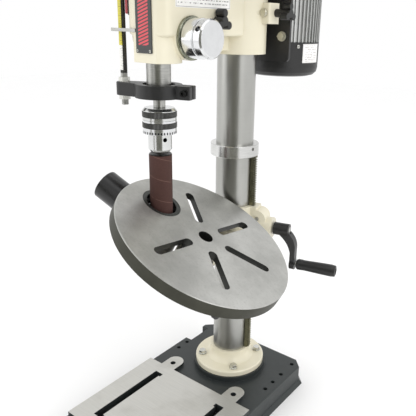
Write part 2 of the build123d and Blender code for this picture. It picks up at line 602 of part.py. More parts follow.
with BuildPart() as spindle:
    turned(
        SPINDLE,
        [(0, 612), (7.4, 612), (8.8, CHUCK_TOP), (SPINDLE_R, CHUCK_TOP + 0.5), (SPINDLE_R, QUILL_TOP),
         (7.4, QUILL_TOP + 3), (7.4, 922), (0, 922)],
    )
save(spindle, "spindle")

collar_low, collar_top = 653, 673.8
ear_turn = 196.4
collar_frame = Plane((0, -THROAT, 0), x_dir=Vector(-cos(radians(ear_turn)), -sin(radians(ear_turn)), 0))
collar_screw = collar_frame.from_local_coords((50, 0, 663.4))
collar_bolt = Plane(collar_screw, x_dir=(0, 0, 1), z_dir=-collar_frame.y_dir)
with BuildPart() as depth_collar:
    with BuildSketch(Plane.XY.offset(collar_low)):
        with Locations((0, -THROAT)):
            Circle(24)
        with Locations((ROD_X, ROD_Y)):
            Circle(13)
        make_hull()
        with Locations((0, -THROAT)):
            Circle(38)
    extrude(amount=collar_top - collar_low)
    block(collar_frame, (20, 59), (-13, 13), (collar_low, collar_top), corner=3)
    chamfer(faces().sort_by(Axis.Z)[-1].outer_wire().edges(), 1)
    disc(SPINDLE, QUILL_R + 0.02, 640, 690, Mode.SUBTRACT)
    disc(SPINDLE, 26, collar_top - 5, 690, Mode.SUBTRACT)
    block(collar_frame, (15, 70), (-1.6, 1.6), (640, 690), Mode.SUBTRACT)
    disc(collar_bolt, 3.05, -40, 40, Mode.SUBTRACT)
    disc(at(COLUMN, ROD_X, ROD_Y), ROD_R + FIT, 640, 690, Mode.SUBTRACT)
save(depth_collar, "depth_collar")

with BuildPart() as depth_rod:
    disc(at(COLUMN, ROD_X, ROD_Y), ROD_R, 637, 835)
    block(COLUMN, (ROD_X - 8, ROD_X + 8), (ROD_Y - 8, ROD_Y - 4.2), (688, 840), Mode.SUBTRACT)
    for groove in range(5):
        depth = 638.5 + groove * 1.5
        turned(at(COLUMN, ROD_X, ROD_Y), [(4.9, depth + 0.5), (7, depth), (7, depth + 1)], Mode.SUBTRACT)
save(depth_rod, "depth_rod")

with BuildPart() as collar_fasteners:
    for low in (collar_low - 7.2, collar_top + 0.1):
        hexagon(at(COLUMN, ROD_X, ROD_Y), 16, low, low + 7)
    disc(at(COLUMN, ROD_X, ROD_Y), ROD_R + FIT, 640, 690, Mode.SUBTRACT)
    disc(collar_bolt, 3, -14, 14)
    disc(collar_bolt, 5, 13.1, 19)
    with BuildSketch(at(collar_bolt, z=16)) as socket:
        RegularPolygon(2.5, 6, major_radius=False)
    extrude(socket.sketch, amount=5, mode=Mode.SUBTRACT)
    hexagon(collar_bolt, 10, -18, -13.1)
save(collar_fasteners, "collar_fasteners")

JAW_LEAN = 15
JAW_TURNS = (39, 159, 279)
ARBOR_R = 5
jaw_frames = []
for turn in JAW_TURNS:
    out = Vector(cos(radians(turn)), sin(radians(turn)), 0)
    lean = UP * cos(radians(JAW_LEAN)) + out * sin(radians(JAW_LEAN))
    foot = Vector(0, -THROAT, CHUCK_NOSE - 1) + out * (ARBOR_R + 2.2)
    across = out * cos(radians(JAW_LEAN)) - UP * sin(radians(JAW_LEAN))
    jaw_frames.append(Plane(foot, x_dir=across, z_dir=lean))

with BuildPart() as chuck_body:
    turned(
        SPINDLE,
        [(0, 610), (7.45, 610), (8.9, CHUCK_TOP), (24, CHUCK_TOP), (CHUCK_R, CHUCK_TOP - 4),
         (CHUCK_R, 618.2), (QUILL_R, 618.2), (QUILL_R, 570), (16, CHUCK_NOSE), (8.5, CHUCK_NOSE), (8.5, 604), (0, 604)],
    )
    for jaw in jaw_frames:
        block(jaw, (-3.2, 3.2), (-3.2, 3.2), (-2, 44), Mode.SUBTRACT)
    for turn in JAW_TURNS:
        key_out = Vector(cos(radians(turn - 60)), sin(radians(turn - 60)), 0)
        disc(Plane((0, -THROAT, 587), x_dir=UP, z_dir=key_out), 3.5, 12, 25, Mode.SUBTRACT)
save(chuck_body, "chuck_body")

with BuildPart() as chuck_sleeve:
    ring(SPINDLE, CHUCK_R, QUILL_R + FIT, 596, 617.9)
    with BuildSketch(Plane.XY.offset(596)) as notches:
        with Locations((0, -THROAT)):
            with PolarLocations(CHUCK_R, 36):
                Rectangle(6, 2.4)
    extrude(notches.sketch, amount=5, taper=12, mode=Mode.SUBTRACT)
save(chuck_sleeve, "chuck_sleeve")

for index, jaw in enumerate(jaw_frames, start=1):
    with BuildPart() as chuck_jaw:
        block(jaw, (-3, 3), (-3, 3), (0, 27))
        disc(SPINDLE, ARBOR_R + 0.02, 540, 620, Mode.SUBTRACT)
    save(chuck_jaw, f"chuck_jaw_{index}")

with BuildPart() as drum_arbor:
    hexagon(SPINDLE, 17, DRUM_LOW - 1, DRUM_LOW + 4.4)
    disc(SPINDLE, 18.3, DRUM_TOP + 0.05, DRUM_TOP + 1.4)
    disc(SPINDLE, 17, DRUM_LOW + 4.5, DRUM_LOW + 5.95)
    disc(SPINDLE, ARBOR_R + 0.02, 430, 580, Mode.SUBTRACT)
    disc(SPINDLE, ARBOR_R, DRUM_LOW - 1.5, 602)
save(drum_arbor, "drum_arbor")

with BuildPart() as drum_core:
    ring(SPINDLE, 17.8, ARBOR_R + 0.02, DRUM_LOW + 6, DRUM_TOP)
save(drum_core, "drum_core")

with BuildPart() as abrasive_sleeve:
    ring(SPINDLE, DRUM_R, 17.82, DRUM_LOW + 6, DRUM_TOP)
save(abrasive_sleeve, "abrasive_sleeve")

# ---- drive ---------------------------------------------------------------------------
with BuildPart() as spindle_pulley:
    pulley(SPINDLE, SPINDLE_STEPS, 7.5)
    ring(SPINDLE, 12.4, 7.5, HEAD_TOP + 0.6, PULLEY_LOW)
save(spindle_pulley, "spindle_pulley")

with BuildPart() as idler_pulley:
    pulley(IDLER, IDLER_STEPS, 7.5 + FIT)
save(idler_pulley, "idler_pulley")

with BuildPart() as idler_pivot:
    disc(COLUMN, 9, COLUMN_TOP + 7, 860)
    with BuildSketch(Plane.XY.offset(853)) as arm_outline:
        Circle(15)
        with Locations((0, IDLER_Y)):
            Circle(13)
        make_hull()
    extrude(arm_outline.sketch, amount=12)
    disc(IDLER, 7.5, 860, PULLEY_LOW + 54)
    disc(IDLER, 11, 864, PULLEY_LOW - 0.4)
save(idler_pivot, "idler_pivot")

with BuildPart() as motor_pulley:
    pulley(MOTOR, MOTOR_STEPS, 7.02)
save(motor_pulley, "motor_pulley")

with BuildPart() as drive_belts:
    belt(IDLER_Y, IDLER_STEPS[2], -THROAT, SPINDLE_STEPS[2], 2)
    belt(MOTOR_Y, MOTOR_STEPS[0], IDLER_Y, IDLER_STEPS[0], 0)
save(drive_belts, "drive_belts")

case_low, case_top = 735, 815
with BuildPart() as motor_case:
    with BuildSketch(Plane.XY.offset(case_low)) as fins:
        with Locations((0, MOTOR_Y)):
            Circle(MOTOR_R - 4)
            with PolarLocations(MOTOR_R - 3.5, 54):
                Rectangle(7, 2.6)
    extrude(fins.sketch, amount=case_top - case_low)
    block(COLUMN, (-34, 34), (80, 110), (case_low + 7, case_top - 3))
    block(COLUMN, (-64, 64), (74.1, 80.6), (case_low + 3, 830), corner=2)
    disc(MOTOR, MOTOR_R - 7, 700, 840, Mode.SUBTRACT)
    for bolt_x in (-53.8, 53.8):
        for bolt_z in (746, 820):
            disc(Plane((bolt_x, 0, bolt_z), x_dir=(1, 0, 0), z_dir=(0, 1, 0)), 4.1, 70, 90, Mode.SUBTRACT)
    ring(MOTOR, MOTOR_R - 6.5, 44, 742, 808)
    ring(MOTOR, 62, 46, 725, 742)
    ring(MOTOR, 62, 46, 808, 820)
save(motor_case, "motor_case")

with BuildPart() as motor_caps:
    turned(
        MOTOR,
        [(8, MOTOR_LOW), (58, MOTOR_LOW), (67, MOTOR_LOW + 2.5), (73, MOTOR_LOW + 8.5),
         (MOTOR_R, MOTOR_LOW + 17), (MOTOR_R, case_low - 0.1), (MOTOR_R - 4, case_low - 0.1),
         (MOTOR_R - 4, MOTOR_LOW + 14), (64, MOTOR_LOW + 5), (8, MOTOR_LOW + 4)],
    )
    with BuildSketch(Plane.XY.offset(MOTOR_LOW - 1)) as vents:
        with Locations((0, MOTOR_Y)):
            with PolarLocations(40, 16):
                SlotOverall(24, 4)
    extrude(vents.sketch, amount=8, mode=Mode.SUBTRACT)
    turned(
        MOTOR,
        [(9, 837), (50, 837), (62, 834), (MOTOR_R - 3, 828), (MOTOR_R - 2, case_top + 0.1),
         (MOTOR_R - 6, case_top + 0.1), (MOTOR_R - 7, 825), (50, 832), (16, 832), (16, 822), (9, 822)],
    )
save(motor_caps, "motor_caps")

with BuildPart() as motor_rotor:
    disc(MOTOR, 7, 674, PULLEY_LOW + 54)
    disc(MOTOR, 43, 742, 808)
    for blade in range(8):
        turn = radians(45 * blade)
        fan = Plane((0, MOTOR_Y, 0), x_dir=(cos(turn), sin(turn), 0))
        block(fan, (6, 56), (-1.2, 1.2), (684, 704))
    disc(MOTOR, 56, 682, 684.5)
save(motor_rotor, "motor_rotor")

with BuildPart() as motor_mount:
    with BuildSketch(Plane.XZ.offset(-68)) as plate_outline:
        with Locations((0, 767.5)):
            RectangleRounded(140, 135, 8)
        with Locations((-53.8, 746), (53.8, 746), (-53.8, 820), (53.8, 820)):
            Circle(4.1, mode=Mode.SUBTRACT)
    extrude(plate_outline.sketch, amount=-6)
    for bar in (LEFT_BAR, RIGHT_BAR):
        disc(bar, BAR_R, -6, 68)
    chamfer(edges().group_by(Axis.Y)[0], 1)
    for bolt_x in (-53.8, 53.8):
        for bolt_z in (746, 820):
            bolt = Plane((bolt_x, 0, bolt_z), x_dir=(1, 0, 0), z_dir=(0, 1, 0))
            disc(bolt, 4, 66, 88)
            disc(bolt, 9, 66.1, 67.95)
            hexagon(bolt, 13, 61, 66.2)
            hexagon(bolt, 13, 80.7, 87)
save(motor_mount, "motor_mount")

KNOB = Plane((BAR_X, 21, BAR_Z), x_dir=(0, 1, 0), z_dir=(1, 0, 0))
with BuildPart() as tension_knob:
    disc(KNOB, 4, BAR_R + 0.15, 30)
    disc(KNOB, 7, lug_x[1] - BAR_X + GAP, 29)
    wing(KNOB, 17, 14, 28)
save(tension_knob, "tension_knob")

# ---- belt guard ----------------------------------------------------------------------
hinge_axis = Plane((HINGE_X, 0, HINGE_Z), x_dir=(1, 0, 0), z_dir=(0, 1, 0))
hinge_places = (-120, 90)
with BuildPart() as guard_pan:
    guard_outline(GUARD_R, HEAD_TOP + 0.1, GUARD_RIM)
    guard_outline(GUARD_R - 2.5, HEAD_TOP + 2.6, GUARD_RIM + 1, Mode.SUBTRACT)
    for place in hinge_places:
        block(COLUMN, (HINGE_X - 1, -GUARD_R + 2), (place - 30, place - 10.5), (GUARD_RIM - 12, GUARD_RIM))
        block(COLUMN, (HINGE_X - 1, -GUARD_R + 2), (place + 10.5, place + 30), (GUARD_RIM - 12, GUARD_RIM))
        disc(hinge_axis, 5, place - 30, place - 10.5)
        disc(hinge_axis, 5, place + 10.5, place + 30)
    disc(hinge_axis, 2.5 + FIT, -200, 200, Mode.SUBTRACT)
    disc(SPINDLE, 28.3, 840, 860, Mode.SUBTRACT)
    disc(COLUMN, 9.3, 840, 860, Mode.SUBTRACT)
    slot(Plane((0, MOTOR_Y - 6, 0), x_dir=(0, 1, 0)), 44, 30, 840, 860)
save(guard_pan, "guard_pan")

with BuildPart() as hinge_pins:
    for place in hinge_places:
        disc(hinge_axis, 2.5, place - 31, place + 31)
    disc(paddle_axis, 1.5, -2.8, 36.8)
save(hinge_pins, "hinge_pins")

with BuildPart() as guard_lid:
    guard_outline(GUARD_R, GUARD_RIM + 0.4, GUARD_TOP)
    fillet(faces().sort_by(Axis.Z)[-1].edges(), 10)
    guard_outline(GUARD_R - 2.5, GUARD_RIM - 1, GUARD_TOP - 9, Mode.SUBTRACT)
    guard_outline(GUARD_R - 9, GUARD_TOP - 10, GUARD_TOP - 2.5, Mode.SUBTRACT)
    for place in hinge_places:
        disc(hinge_axis, 5, place - 10, place + 10)
        block(COLUMN, (HINGE_X, -GUARD_R + 2), (place - 10, place + 10), (GUARD_RIM + 0.4, GUARD_RIM + 6))
    disc(hinge_axis, 2.5 + FIT, -200, 200, Mode.SUBTRACT)
save(guard_lid, "guard_lid")
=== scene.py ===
import json
import math

import bmesh
import bpy
from mathutils import Matrix, Vector


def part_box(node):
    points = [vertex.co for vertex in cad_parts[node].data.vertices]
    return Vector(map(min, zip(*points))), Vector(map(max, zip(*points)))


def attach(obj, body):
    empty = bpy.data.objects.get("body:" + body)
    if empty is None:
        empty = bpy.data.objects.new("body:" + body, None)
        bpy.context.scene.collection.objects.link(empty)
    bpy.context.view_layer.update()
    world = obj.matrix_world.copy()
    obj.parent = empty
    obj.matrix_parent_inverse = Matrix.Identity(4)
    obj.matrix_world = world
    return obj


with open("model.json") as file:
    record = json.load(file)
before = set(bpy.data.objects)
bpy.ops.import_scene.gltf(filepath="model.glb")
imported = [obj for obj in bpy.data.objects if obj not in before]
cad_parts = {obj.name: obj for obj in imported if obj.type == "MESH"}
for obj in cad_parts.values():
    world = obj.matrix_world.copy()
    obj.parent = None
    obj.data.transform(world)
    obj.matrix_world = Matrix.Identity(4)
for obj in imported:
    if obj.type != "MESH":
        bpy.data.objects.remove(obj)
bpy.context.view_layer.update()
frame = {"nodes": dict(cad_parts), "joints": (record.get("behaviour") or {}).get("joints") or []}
nodes = frame["nodes"]
joints = {joint["name"]: joint for joint in frame["joints"]}

MM = 0.001
X, Y, Z = Vector((1, 0, 0)), Vector((0, 1, 0)), Vector((0, 0, 1))


# ---- places, worked out from the frame's joints and boxes -----------------------------
def pivot(joint):
    return Vector(joints[joint]["pos_m"])


def axis(joint):
    return Vector(joints[joint]["axis"])


def low(node):
    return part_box(node)[0]


def high(node):
    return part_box(node)[1]


def axes(origin, across, out):
    """A frame at origin: x along across, z along out."""
    placed = Matrix((across, out.cross(across), out)).transposed().to_4x4()
    placed.translation = origin
    return placed


spindle_axis = Vector((pivot("spindle_spin").x, pivot("spindle_spin").y, 0))
motor_axis = Vector((pivot("motor_spin").x, pivot("motor_spin").y, 0))
rod_axis = (low("depth_rod") + high("depth_rod")) / 2
table_normal, table_radial = axis("table_rotate"), axis("table_tilt")
TABLE = axes(pivot("table_rotate"), table_normal.cross(table_radial), table_normal)
table_radius = 158 * MM
chuck_radius = high("chuck_body").x
motor_radius = high("motor_caps").x
drum_top = high("drum_core").z
sleeve_low = low("chuck_sleeve").z
rod_low = low("depth_rod").z
panel_low, panel_high = low("front_panel"), high("front_panel")
pad_top = 52.7 * MM
key_hole_level, key_hole_radius = 587 * MM, 3.8 * MM
mount_plate_near, mount_plate_far = 68 * MM, 74 * MM


def polar(radius, turn, height=0):
    """The place at a turn in radians about the z axis."""
    return Vector((radius * math.cos(turn), radius * math.sin(turn), height))


# ---- procedural materials -------------------------------------------------------------
def tint(red, green, blue):
    """A display colour from 0 to 255 as the linear colour that a shader takes."""
    return (*(((level / 255 + 0.055) / 1.055) ** 2.4 for level in (red, green, blue)), 1.0)


class Finish:
    """One node material, shaded from places in the row frame."""

    def __init__(self, name, metallic=0.0, coat=0.0, rounding=0.5):
        self.material = bpy.data.materials.new(name)
        self.material.use_nodes = True
        self.tree = self.material.node_tree
        self.shader = self.tree.nodes["Principled BSDF"]
        self.shader.inputs["Metallic"].default_value = metallic
        self.shader.inputs["Coat Weight"].default_value = coat
        coords = self.add("ShaderNodeTexCoord")
        self.place = coords.outputs["Object"]
        self.facing = coords.outputs["Normal"]
        rounded = self.add("ShaderNodeBevel", samples=6)
        rounded.inputs["Radius"].default_value = rounding * MM
        self.normal = rounded.outputs["Normal"]

    def add(self, kind, **settings):
        node = self.tree.nodes.new(kind)
        for name, value in settings.items():
            setattr(node, name, value)
        return node

    def feed(self, socket, value):
        """Joins an output to the socket, or sets the socket to a constant."""
        if isinstance(value, bpy.types.NodeSocket):
            self.tree.links.new(value, socket)
        else:
            socket.default_value = value

    def calc(self, operation, first, second):
        """A sum, product or other operation on two numbers."""
        node = self.add("ShaderNodeMath", operation=operation)
        self.feed(node.inputs[0], first)
        self.feed(node.inputs[1], second)
        return node.outputs[0]

    def vector(self, operation, first, second):
        """An operation on two vectors, which gives a vector or a number."""
        node = self.add("ShaderNodeVectorMath", operation=operation)
        self.feed(node.inputs[0], first)
        self.feed(node.inputs[1], second)
        return node.outputs["Value" if operation in ("DOT_PRODUCT", "LENGTH") else "Vector"]

    def along(self, direction, origin=(0, 0, 0)):
        """The distance from origin along a direction."""
        return self.vector("DOT_PRODUCT", self.vector("SUBTRACT", self.place, origin), direction)

    def off_axis(self, direction, origin):
        """The distance from an axis."""
        offset = self.vector("SUBTRACT", self.place, origin)
        return self.vector("LENGTH", self.vector("CROSS_PRODUCT", offset, direction), (0, 0, 0))

    def around(self, placed):
        """The turn about the z axis of a frame, from -pi to pi."""
        across, up = placed.col[0].xyz, placed.col[1].xyz
        origin = placed.translation
        return self.calc("ARCTAN2", self.along(up, origin), self.along(across, origin))

    def turned_to(self, direction, limit=0.9):
        """1 on faces that look along a direction."""
        return self.calc("GREATER_THAN", self.vector("DOT_PRODUCT", self.facing, direction), limit)

    def smooth(self, value, start, end):
        """0 at start, 1 at end, with a soft step between them."""
        node = self.add("ShaderNodeMapRange", interpolation_type="SMOOTHSTEP")
        for name, setting in (("Value", value), ("From Min", start), ("From Max", end)):
            self.feed(node.inputs[name], setting)
        return node.outputs["Result"]

    def band(self, value, start, end, soft=0.15 * MM):
        """1 between start and end."""
        rise = self.smooth(value, start - soft, start + soft)
        return self.calc("SUBTRACT", rise, self.smooth(value, end - soft, end + soft))

    def noise(self, scale, detail=3.0, stretch=(1, 1, 1), rough=0.55):
        """Noise of so many features to the metre, closer together where stretch is large."""
        scaled = self.vector("MULTIPLY", self.place, stretch)
        node = self.add("ShaderNodeTexNoise")
        settings = (("Vector", scaled), ("Scale", scale), ("Detail", detail), ("Roughness", rough))
        for name, setting in settings:
            self.feed(node.inputs[name], setting)
        return node.outputs["Fac"]

    def cells(self, scale):
        """The distance to the nearest of many scattered points, as grit lies."""
        node = self.add("ShaderNodeTexVoronoi")
        self.feed(node.inputs["Vector"], self.place)
        self.feed(node.inputs["Scale"], scale)
        return node.outputs["Distance"]

    def mix(self, share, first, second):
        """A colour between first and second."""
        node = self.add("ShaderNodeMix", data_type="RGBA")
        for index, value in ((0, share), (6, first), (7, second)):
            self.feed(node.inputs[index], value)
        return node.outputs[2]

    def blend(self, share, first, second):
        """A number between first and second."""
        node = self.add("ShaderNodeMix", data_type="FLOAT")
        for index, value in ((0, share), (2, first), (3, second)):
            self.feed(node.inputs[index], value)
        return node.outputs[0]

    def bump(self, height, strength, depth=0.2 * MM):
        """Adds relief to the surface."""
        node = self.add("ShaderNodeBump")
        node.inputs["Strength"].default_value = strength
        node.inputs["Distance"].default_value = depth
        self.feed(node.inputs["Height"], height)
        self.feed(node.inputs["Normal"], self.normal)
        self.normal = node.outputs["Normal"]

    def edges(self, radius):
        """1 along sharp edges, broken up as wear is."""
        probe = self.add("ShaderNodeBevel", samples=6)
        probe.inputs["Radius"].default_value = radius * MM
        true_normal = self.add("ShaderNodeNewGeometry").outputs["Normal"]
        level = self.vector("DOT_PRODUCT", probe.outputs["Normal"], true_normal)
        worn = self.smooth(self.calc("SUBTRACT", 1.0, level), 0.02, 0.25)
        return self.calc("MULTIPLY", worn, self.smooth(self.noise(260), 0.42, 0.62))

    def done(self, colour, roughness):
        """Joins up the shader and gives the material."""
        self.feed(self.shader.inputs["Base Color"], colour)
        self.feed(self.shader.inputs["Roughness"], roughness)
        self.feed(self.shader.inputs["Normal"], self.normal)
        return self.material


def enamel(name, shade, light, worn, coat, roughness, peel=0.10):
    """Sprayed enamel on a casting: orange peel, thin edges and a little uneven gloss."""
    made = Finish(name, coat=coat, rounding=0.9)
    made.shader.inputs["Coat Roughness"].default_value = 0.12
    body = made.mix(made.noise(14, 4), shade, light)
    made.bump(made.noise(420, 2), peel, 0.12 * MM)
    made.bump(made.noise(55, 3), peel * 1.6, 0.5 * MM)
    colour = made.mix(made.calc("MULTIPLY", made.edges(0.7), 0.5), body, worn)
    return made.done(colour, made.blend(made.noise(90), roughness - 0.06, roughness + 0.08))


def ground_steel(name, shade, light, roughness, stretch):
    """Bare steel with fine grinding lines, closest together along the largest stretch."""
    made = Finish(name, metallic=1.0, rounding=0.4)
    lines = made.noise(420, 5, stretch)
    share = made.blend(0.55, lines, made.noise(9, 4))
    made.bump(lines, 0.12, 0.05 * MM)
    made.bump(made.noise(1100, 2), 0.05, 0.05 * MM)
    colour = made.mix(made.smooth(share, 0.35, 0.65), shade, light)
    return made.done(colour, made.blend(lines, roughness - 0.06, roughness + 0.10))


def moulded(name, shade, light, roughness, grain=900, rounding=0.5):
    """Moulded plastic or rubber with a fine grain."""
    made = Finish(name, rounding=rounding)
    made.bump(made.noise(grain, 2), 0.16, 0.06 * MM)
    made.bump(made.noise(60, 2), 0.12, 0.25 * MM)
    body = made.mix(made.noise(30, 4), shade, light)
    scuffed = made.mix(made.calc("MULTIPLY", made.edges(0.5), 0.35), body, light)
    return made.done(scuffed, made.blend(made.noise(120), roughness - 0.07, roughness + 0.07))


def base_finish():
    """Dark grey enamel, with the raised work pad and its ears milled bright."""
    made = Finish("base_enamel_and_milled_pad", rounding=1.2)
    height = made.along(Z)
    seat = made.band(height, pad_top - 0.4 * MM, pad_top + 0.5 * MM, 0.05 * MM)
    milled = made.calc("MULTIPLY", seat, made.turned_to(Z))
    paint = made.mix(made.noise(11, 4), tint(36, 41, 41), tint(48, 53, 53))
    chipped = made.mix(made.calc("MULTIPLY", made.edges(1.0), 0.45), paint, tint(82, 86, 83))
    strokes = made.noise(300, 4, (0.06, 3.0, 1.0))
    cloud = made.noise(16, 5)
    metal = made.mix(strokes, tint(184, 183, 177), tint(216, 215, 210))
    stain = made.calc("MULTIPLY", made.smooth(cloud, 0.5, 0.75), 0.3)
    stained = made.mix(stain, metal, tint(158, 156, 147))
    made.bump(made.noise(330, 2), 0.12, 0.15 * MM)
    made.bump(strokes, 0.06, 0.04 * MM)
    made.feed(made.shader.inputs["Metallic"], made.calc("MULTIPLY", milled, 0.75))
    paint_gloss = made.blend(made.noise(70), 0.36, 0.5)
    gloss = made.blend(milled, paint_gloss, made.blend(strokes, 0.3, 0.42))
    return made.done(made.mix(milled, chipped, stained), gloss)


def table_finish():
    """Ground cast iron on top, a rim cut on the lathe and coloured dark as a painted reflection, and rough
    grey casting below and in the slots.
    """
    made = Finish("table_ground_iron", metallic=0.85, rounding=0.6)
    depth = made.along(table_normal, TABLE.translation)
    radius = made.off_axis(table_normal, TABLE.translation)
    upward = made.turned_to(table_normal, 0.6)
    top = made.calc("MULTIPLY", made.smooth(depth, -1.3 * MM, -1.0 * MM), upward)
    rim = made.smooth(radius, table_radius - 1.3 * MM, table_radius - 0.9 * MM)
    grinding = made.noise(240, 5, (0.05, 2.2, 0.05))
    cloud = made.noise(10, 5, rough=0.62)
    speckle = made.noise(260, 3)
    ground = made.mix(made.smooth(cloud, 0.3, 0.7), tint(166, 166, 162), tint(200, 200, 196))
    pores = made.calc("MULTIPLY", made.smooth(speckle, 0.52, 0.7), 0.22)
    ground = made.mix(pores, ground, tint(132, 132, 127))
    ground = made.mix(made.calc("MULTIPLY", grinding, 0.25), ground, tint(214, 214, 211))
    # painted reflection: the rim is coloured dark olive grey for the dark reflection it shows, though it is
    # the same iron as the top
    turned = made.mix(made.noise(30, 4), tint(60, 60, 53), tint(84, 84, 75))
    casting = made.mix(made.noise(120, 4), tint(48, 49, 47), tint(74, 75, 72))
    colour = made.mix(top, made.mix(rim, casting, turned), ground)
    sand = made.calc("MULTIPLY", made.noise(500, 3), made.calc("SUBTRACT", 1.0, top))
    made.bump(sand, 0.25, 0.3 * MM)
    made.bump(grinding, 0.05, 0.04 * MM)
    gloss = made.blend(top, 0.5, made.blend(cloud, 0.34, 0.46))
    return made.done(colour, gloss)


def panel_finish():
    """A dark printed front plate with a column of slanted red bars."""
    made = Finish("front_panel_print", coat=0.3, rounding=0.3)
    across = made.along(X)
    height = made.along(Z)
    slope, pitch = 0.35, 5.0 * MM
    run = made.calc("SUBTRACT", height, made.calc("MULTIPLY", across, slope))
    bars = made.band(made.calc("FLOORED_MODULO", run, pitch), 1.0 * MM, 4.1 * MM)
    columns = made.band(across, -11 * MM, 10 * MM)
    lowest = panel_low.z + 11.5 * MM
    field = made.calc("MULTIPLY", columns, made.smooth(height, lowest, lowest + 0.3 * MM))
    face = made.turned_to(-Y, 0.7)
    print_share = made.calc("MULTIPLY", made.calc("MULTIPLY", bars, field), face)
    ink = made.mix(made.noise(90, 3), tint(204, 52, 64), tint(224, 72, 84))
    ground = made.mix(made.noise(220, 3), tint(28, 31, 31), tint(42, 45, 45))
    made.bump(print_share, 0.25, 0.05 * MM)
    made.bump(made.noise(900, 2), 0.08, 0.04 * MM)
    return made.done(made.mix(print_share, ground, ink), made.blend(made.noise(60), 0.34, 0.46))


def abrasive_finish():
    """Brown abrasive cloth wound on a sleeve, dusty, with a paler and broken spiral seam."""
    made = Finish("abrasive_cloth", rounding=0.2)
    turn = made.around(axes(spindle_axis, X, Z))
    height = made.along(Z)
    lead = 36 * MM
    run = made.calc("ADD", height, made.calc("MULTIPLY", turn, lead / (2 * math.pi)))
    seam = made.band(made.calc("FLOORED_MODULO", run, lead), 11.2 * MM, 12.0 * MM, 0.3 * MM)
    broken = made.calc("MULTIPLY", seam, made.smooth(made.noise(45, 3), 0.36, 0.55))
    grit = made.cells(1500)
    fine = made.noise(2400, 2)
    cloth = made.mix(made.noise(25, 4), tint(56, 30, 25), tint(70, 42, 36))
    grains = made.mix(made.smooth(grit, 0.1, 0.6), tint(88, 56, 49), cloth)
    dusty = made.mix(made.calc("MULTIPLY", fine, 0.12), grains, tint(112, 82, 72))
    colour = made.mix(made.calc("MULTIPLY", broken, 0.45), dusty, tint(142, 110, 96))
    made.bump(grit, 0.5, 0.12 * MM)
    made.bump(broken, 0.4, 0.12 * MM)
    return made.done(colour, made.blend(fine, 0.72, 0.92))


def printed_label(name, placed, rows, ground, ink, size, border=0.8 * MM):
    """A label of a size in millimetres: a border, and rows of broken marks that spell nothing."""
    made = Finish(name, coat=0.25, rounding=0.1)
    across = made.along(placed.col[0].xyz, placed.translation)
    up = made.along(placed.col[1].xyz, placed.translation)
    length, height = (side * MM for side in size)

    def within(end_gap, side_gap):
        """1 inside the label's outline, moved in by the gaps."""
        lengthways = made.band(across, -length / 2 + end_gap, length / 2 - end_gap)
        upright = made.band(up, -height / 2 + side_gap, height / 2 - side_gap)
        return made.calc("MULTIPLY", lengthways, upright)

    stripe = made.band(made.calc("FLOORED_MODULO", up, rows), rows * 0.34, rows * 0.66, rows * 0.05)
    marks = made.smooth(made.noise(1, 2, (520, 240, 240)), 0.45, 0.52)
    text = made.calc("MULTIPLY", made.calc("MULTIPLY", stripe, marks), within(5 * MM, 3 * MM))
    inside = within(1.5 * border, 1.5 * border)
    core = within(2.2 * border, 2.2 * border)
    line = made.calc("SUBTRACT", inside, core)
    paper = made.mix(made.noise(70, 3), ground, tint(250, 249, 246))
    printed = made.mix(made.calc("MAXIMUM", made.calc("MULTIPLY", text, 0.75), line), paper, ink)
    made.bump(made.noise(600, 2), 0.05, 0.04 * MM)
    return made.done(printed, made.blend(made.noise(80), 0.3, 0.42))


def scale_finish(name, placed, pitch, split=None):
    """A ruled white strip with every fifth tick long. Above a split, if it has one, it is yellow."""
    made = Finish(name, coat=0.2, rounding=0.1)
    up = made.along(placed.col[1].xyz, placed.translation)
    across = made.along(placed.col[0].xyz, placed.translation)
    near = made.calc("FLOORED_MODULO", made.calc("ADD", up, pitch / 2), pitch)
    fine = made.band(near, pitch * 0.42, pitch * 0.58, pitch * 0.04)
    far = made.calc("FLOORED_MODULO", made.calc("ADD", up, pitch * 2.5), pitch * 5)
    fifth = made.band(far, pitch * 2.4, pitch * 2.6, pitch * 0.04)
    short = made.calc("MULTIPLY", fine, made.smooth(across, 0.6 * MM, 0.9 * MM))
    long = made.calc("MULTIPLY", fifth, made.smooth(across, -1.4 * MM, -1.1 * MM))
    ticks = made.calc("MAXIMUM", short, long)
    yellow = made.mix(made.noise(160, 3), tint(196, 186, 44), tint(216, 206, 66))
    white = made.mix(made.noise(160, 3), tint(232, 231, 224), tint(244, 243, 238))
    ground = white
    if split is not None:
        ground = made.mix(made.smooth(up, split, split + 0.4 * MM), white, yellow)
    made.bump(ticks, 0.1, 0.03 * MM)
    colour = made.mix(ticks, ground, tint(38, 38, 34))
    return made.done(colour, made.blend(made.noise(90), 0.3, 0.42))


def polish(made, shade, light):
    """Adds fine polishing lines, and gives the colour and the wiped patches of its gloss."""
    wiped = made.noise(40, 5)
    made.bump(made.noise(700, 3, (0.1, 1, 1)), 0.015, 0.02 * MM)
    return made.mix(wiped, shade, light), wiped


def chrome_finish():
    """Plain polished chrome."""
    made = Finish("polished_chrome", metallic=1.0, rounding=0.5)
    colour, wiped = polish(made, tint(214, 215, 216), tint(234, 235, 236))
    return made.done(colour, made.blend(wiped, 0.12, 0.24))


def column_finish():
    """A drawn and polished steel tube: satin, with faint rings and a few oily clouds."""
    made = Finish("polished_column", metallic=1.0, rounding=0.4)
    rings = made.noise(1100, 2, (0.01, 0.01, 1.0))
    cloud = made.noise(6, 4, (1.0, 1.0, 0.5))
    oily = made.mix(made.smooth(cloud, 0.35, 0.65), tint(164, 164, 160), tint(184, 184, 180))
    colour = made.mix(made.calc("MULTIPLY", rings, 0.16), oily, tint(210, 210, 206))
    made.bump(rings, 0.006, 0.02 * MM)
    return made.done(colour, made.blend(cloud, 0.27, 0.33))


